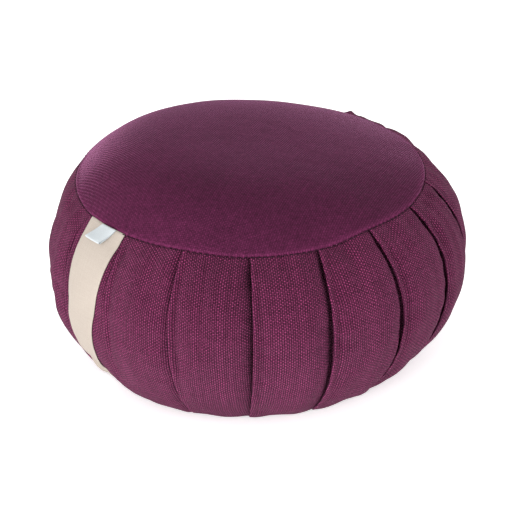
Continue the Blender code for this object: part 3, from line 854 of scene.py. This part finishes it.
def strip_points(heights, across, stand_off):
    """Points of the strip at shares across it, on the panel's swell and a stand-off from it.

    Near the foot the right edge is tucked in by the square of the way down.
    """
    left = between_seams(*STRIP_EDGES["left"], heights)[:, None]
    tuck = STRIP_TUCK * np.clip(1.0 - heights / STRIP_TUCK_HEIGHT, 0.0, 1.0) ** 2
    right = (between_seams(*STRIP_EDGES["right"], heights) - tuck)[:, None]
    angle = left + (right - left) * across[None, :]
    start = fold_angle(STRIP_PANEL, heights)
    width = fold_angle(STRIP_PANEL + 1, heights) - start
    radius = section(heights)[0]
    distance = (angle - start[:, None]) * radius[:, None]
    on_panel = face_offset(STRIP_PANEL, distance, (radius * width)[:, None], heights[:, None])
    return off_side(angle, heights[:, None], on_panel + stand_off[None, :])


def squared(wave):
    """A wave from -1 to 1 pushed out towards a square one, by a small power of its size."""
    return np.sign(wave) * np.abs(wave) ** BAR_SQUARENESS


bar_turn = np.linspace(0.0, FULL_TURN, BAR_SIDES, endpoint=False)
bar_across = 0.5 - 0.5 * squared(np.cos(bar_turn))
bar_thick = 0.5 + 0.5 * squared(np.sin(bar_turn))
strip_heights = np.linspace(0.0, 1.0, STRIP_ROWS)
strip_grid = strip_points(strip_heights, bar_across, STRIP_GAP + STRIP_THICKNESS * bar_thick)
strip_places = np.stack(np.broadcast_arrays(
    (bar_across * STRIP_WIDTH)[None, :], section_length(strip_heights)[:, None]), -1)
strip_places = np.concatenate([strip_places, strip_places[:, :1]], 1)
strip = grid_piece("contrast_strip", strip_grid, strip_places, strip_cloth,
                   first=strip_grid[0].mean(0), last=strip_grid[-1].mean(0))
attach(strip, "root")
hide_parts("cream_strip")

# Woven tab
# A loop of smooth pale tape, sewn into the top seam on the strip. Its two layers part a little
# towards the fold at its free end, which stands off the strip.
TAB_WIDTH = 0.019
TAB_LAYER = 0.0006
TAB_LOOP_RADIUS = 0.0011
TAB_LIFT = 0.0024
TAB_SEAM_GAP = 0.0007

# Angles of its edges and its lean in degrees, and its reach as a share of the side's length
TAB_EDGES = (-54.3, -47.4)
TAB_LEAN = -2.8
TAB_REACH = 0.100
TAB_ROWS = 16
TAB_FOLD_ROWS = 7
tab_cloth = cloth_material("tab cloth", (0.39, 0.415, 0.43), (0.51, 0.550, 0.57),
                           (0.00045, 0.00045), relief=0.00006, blotch=0.015, yarns=0.03, lint=0.02)


def tab_path():
    """Way up and stand-off of the middle of the tape, from the seam down its inner layer, round the
    fold and up its outer layer. Each layer lifts by the square of the way down."""
    reach = TAB_REACH * float(section_length(1.0)) - TAB_LOOP_RADIUS
    down = np.linspace(0.0, 1.0, TAB_ROWS)
    fold = np.radians(np.linspace(-90.0, 90.0, TAB_FOLD_ROWS + 2))[1:-1]
    lift_outside = TAB_LIFT + 2.0 * TAB_LOOP_RADIUS - TAB_SEAM_GAP
    up = np.concatenate([-reach * down, -reach - TAB_LOOP_RADIUS * np.cos(fold),
                         -reach * down[::-1]])
    off = np.concatenate([TAB_LIFT * down ** 2,
                          TAB_LIFT + TAB_LOOP_RADIUS * (1.0 + np.sin(fold)),
                          TAB_SEAM_GAP + lift_outside * down[::-1] ** 2])
    return up, off + STRIP_GAP + STRIP_THICKNESS + TAB_LAYER


def tab_points():
    """Points of the tab: its path thickened along its own normal, laid on the panel's swell."""
    up, off = tab_path()
    run = np.hypot(np.gradient(up), np.gradient(off))
    thick = TAB_LAYER * (bar_thick - 0.5)
    full = float(section_length(1.0))
    heights = 1.0 + (up[:, None] - (np.gradient(off) / run)[:, None] * thick) / full
    heights = np.minimum(heights, 1.0)
    stand_off = off[:, None] + (np.gradient(up) / run)[:, None] * thick
    across = TAB_EDGES[0] + (TAB_EDGES[1] - TAB_EDGES[0]) * bar_across
    angle = np.radians(across + TAB_LEAN * (1.0 - heights) / TAB_REACH)
    start = fold_angle(STRIP_PANEL, heights)
    radius = section(heights)[0]
    width = radius * (fold_angle(STRIP_PANEL + 1, heights) - start)
    on_panel = face_offset(STRIP_PANEL, (angle - start) * radius, width, heights)
    return off_side(angle, heights, on_panel + stand_off)


tab_grid = tab_points()
tab_length = np.concatenate([[0.0], np.cumsum(np.hypot(*np.diff(tab_path())))])
tab_places = np.stack(np.broadcast_arrays(
    (bar_across * TAB_WIDTH)[None, :], tab_length[:, None]), -1)
tab_places = np.concatenate([tab_places, tab_places[:, :1]], 1)
tab = grid_piece("woven_tab", tab_grid, tab_places, tab_cloth,
                 first=tab_grid[0].mean(0), last=tab_grid[-1].mean(0))
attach(tab, "root")
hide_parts("side_tab")

# Floor and light
# A sheet of white paper that glows a little, as on a light table, and white surroundings that are
# brightest low down, with a square soft light on each side.
FLOOR_REACH = 4.0
FLOOR_DROP = 0.0003
PAPER_WHITE = 0.96
PAPER_ROUGHNESS = 0.9
PAPER_GLOW = 0.50
HORIZON_STRENGTH = 1.45
ZENITH_STRENGTH = 0.70

# Each soft light's place and the side of its square in metres, and its power in watts
SOFT_LIGHTS = {
    "left light": ((-1.15, -1.55, 0.34), 0.60, 27.0),
    "right light": ((1.8, -0.7, 0.36), 0.66, 9.0),
}
LIGHTS_AIM = (0.0, 0.0, 0.06)

floor_mesh = bpy.data.meshes.new("floor")
floor_mesh.from_pydata([(x * FLOOR_REACH, y * FLOOR_REACH, 0.0)
                        for x, y in ((-1, -1), (1, -1), (1, 1), (-1, 1))], [], [(0, 1, 2, 3)])
floor = bpy.data.objects.new("floor", floor_mesh)
floor.location.z = -FLOOR_DROP
bpy.context.scene.collection.objects.link(floor)
paper = bpy.data.materials.new("white paper")
paper.use_nodes = True
paper_shader = paper.node_tree.nodes["Principled BSDF"]
paper_shader.inputs["Base Color"].default_value = (PAPER_WHITE, PAPER_WHITE, PAPER_WHITE, 1.0)
paper_shader.inputs["Roughness"].default_value = PAPER_ROUGHNESS
paper_shader.inputs["Emission Color"].default_value = (1.0, 1.0, 1.0, 1.0)
paper_shader.inputs["Emission Strength"].default_value = PAPER_GLOW
floor_mesh.materials.append(paper)

world = bpy.data.worlds.new("white surroundings")
world.use_nodes = True
sky = world.node_tree
direction = add_node(sky, "ShaderNodeTexCoord").outputs["Generated"]
upwards = add_node(sky, "ShaderNodeSeparateXYZ", n0=direction).outputs["Z"]
brightness = add_node(sky, "ShaderNodeMapRange", n0=upwards, n1=0.0, n2=1.0,
                      n3=HORIZON_STRENGTH, n4=ZENITH_STRENGTH)
sky.nodes["Background"].inputs["Color"].default_value = (1.0, 1.0, 1.0, 1.0)
sky.links.new(brightness.outputs[0], sky.nodes["Background"].inputs["Strength"])
bpy.context.scene.world = world


def looking(place, aim):
    """Rotation that points an object's -Z axis from its place at an aim, +Y up."""
    direction = np.subtract(aim, place)
    flat = math.hypot(direction[0], direction[1])
    return math.atan2(flat, -direction[2]), 0.0, math.atan2(-direction[0], direction[1])


for name, (place, size, power) in SOFT_LIGHTS.items():
    light_data = bpy.data.lights.new(name, "AREA")
    light_data.shape = "SQUARE"
    light_data.size = size
    light_data.energy = power
    light = bpy.data.objects.new(name, light_data)
    light.location = place
    light.rotation_euler = looking(place, LIGHTS_AIM)
    bpy.context.scene.collection.objects.link(light)

# Camera
# It looks down at 30 degrees from 2.2 m, on a long lens, with the photograph's slight lean. The
# focal length is in pixels of the square frame.
CAMERA_DISTANCE = 2.2
CAMERA_ELEVATION = math.radians(30.0)
CAMERA_LEAN = math.radians(-1.56)
FOCAL_PIXELS = 2531.0
FRAME_PIXELS = 512
SENSOR_MM = 36.0
AIM = (-0.0012, 0.0, 0.0777)
camera_data = bpy.data.cameras.new("camera")
camera_data.sensor_width = SENSOR_MM
camera_data.lens = FOCAL_PIXELS / FRAME_PIXELS * SENSOR_MM
camera = bpy.data.objects.new("camera", camera_data)
camera.location = (0.0, -CAMERA_DISTANCE * math.cos(CAMERA_ELEVATION),
                   CAMERA_DISTANCE * math.sin(CAMERA_ELEVATION))
camera.rotation_euler = looking(tuple(camera.location), AIM)
camera.rotation_euler.rotate_axis("Z", CAMERA_LEAN)
bpy.context.scene.collection.objects.link(camera)
bpy.context.scene.camera = camera
bpy.context.scene.view_settings.view_transform = "Standard"
